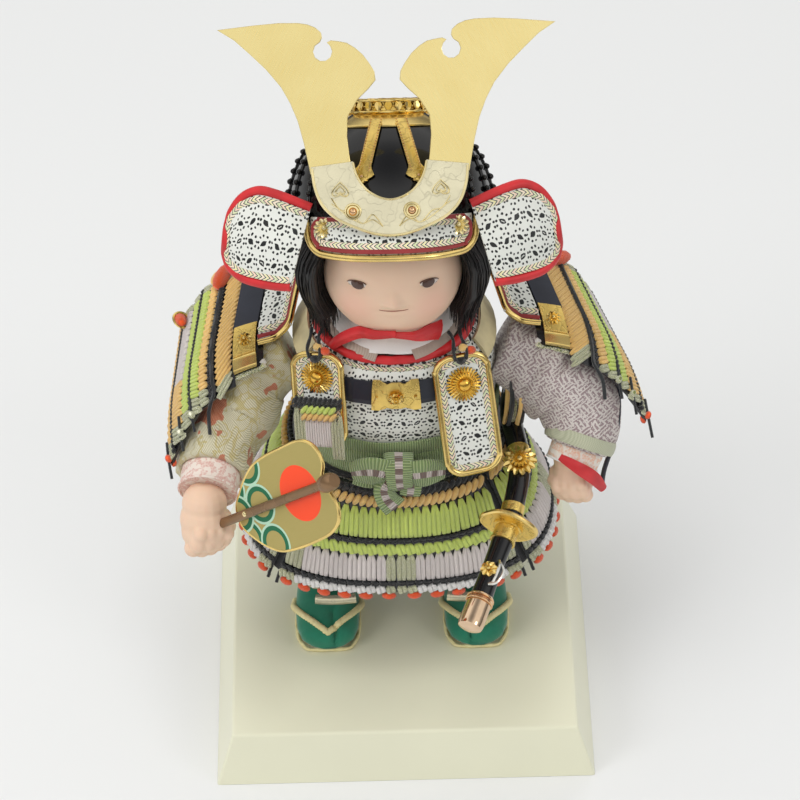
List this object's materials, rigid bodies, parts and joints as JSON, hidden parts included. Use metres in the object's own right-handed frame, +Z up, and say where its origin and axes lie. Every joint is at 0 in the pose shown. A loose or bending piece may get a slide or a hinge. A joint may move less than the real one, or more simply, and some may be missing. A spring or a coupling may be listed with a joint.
{
  "type": "samurai doll",
  "caption": "Boy samurai doll in laced armour and horned helmet, holding a war fan, a sword at its hip, standing on a sloped cream lacquer stand.",
  "frame": {"origin": "middle of the stand's underside", "axes": "+Z up, the doll faces -Y, its own right hand at -X"},
  "size_m": [0.2495, 0.2134, 0.3984],
  "materials": {
    "stand_lacquer": "gloss cream lacquer",
    "boot_suede": "green suede cloth",
    "sandal_straw": "twisted straw cord",
    "gilt_metal": "gilt, satin to bright",
    "pale_gilt_metal": "pale gilt, brushed or engraved",
    "trouser_brocade": "woven brocade",
    "body_cloth": "packed straw under cloth",
    "spotted_leather": "white printed leather with black spots",
    "red_piping": "red silk piping",
    "navy_leather": "dark blue leather",
    "sash_weave": "ribbed green weave",
    "silk_lacing": "laced silk braid over scales",
    "brocade": "silver brocade",
    "key_print_cloth": "mauve key pattern cloth",
    "cuff_cloth": "printed cuff cloth",
    "doll_skin": "soft matt skin coat",
    "fan_paint": "satin olive gold",
    "stick_bronze": "satin bronze",
    "black_lacquer": "gloss black",
    "black_hair": "black silk strands",
    "collar_cloth": "white collar cloth",
    "cream_leather": "cream leather"
  },
  "bodies": {
    "root": {"stand_base": "stand_lacquer", "torso": "body_cloth", "cuirass": "spotted_leather", "neck_roll": "red_piping", "chest_band": "navy_leather", "chest_plaque": "gilt_metal", "sash_band": "sash_weave", "sash_knot": "sash_weave", "skirt_front": "silk_lacing", "skirt_right": "silk_lacing", "skirt_left": "silk_lacing", "skirt_back": "silk_lacing", "chest_plate_left": "gilt_metal", "chest_plate_right": "gilt_metal", "fan_blade": "fan_paint", "fan_handle": "stick_bronze", "sword_guard": "gilt_metal", "sword_grip": "black_lacquer", "sword_pommel": "pale_gilt_metal", "scabbard": "black_lacquer", "scabbard_flower": "gilt_metal", "head": "doll_skin", "inner_collar": "collar_cloth", "chin_cord": "red_piping", "helmet_bowl": "black_lacquer", "bowl_band": "gilt_metal", "horn_holder": "pale_gilt_metal", "visor": "spotted_leather", "visor_rim": "gilt_metal", "neck_guard": "black_lacquer", "boot_right": "boot_suede", "sandal_right": "sandal_straw", "leg_right": "trouser_brocade", "shin_guard_right": "gilt_metal", "sleeve_right": "brocade", "cuff_right": "cuff_cloth", "hand_right": "doll_skin", "side_hair_right": "black_hair", "crest_strip_right": "gilt_metal", "horn_right": "pale_gilt_metal", "turnback_right": "spotted_leather", "shoulder_lames_right": "silk_lacing", "shoulder_plate_right": "spotted_leather", "shoulder_fitting_right": "gilt_metal", "shoulder_strap_right": "cream_leather", "boot_left": "boot_suede", "sandal_left": "sandal_straw", "leg_left": "trouser_brocade", "shin_guard_left": "gilt_metal", "sleeve_left": "key_print_cloth", "cuff_left": "cuff_cloth", "hand_left": "doll_skin", "side_hair_left": "black_hair", "crest_strip_left": "gilt_metal", "horn_left": "pale_gilt_metal", "turnback_left": "spotted_leather", "shoulder_lames_left": "silk_lacing", "shoulder_plate_left": "spotted_leather", "shoulder_fitting_left": "gilt_metal", "shoulder_strap_left": "cream_leather"}
  },
  "joints": []
}
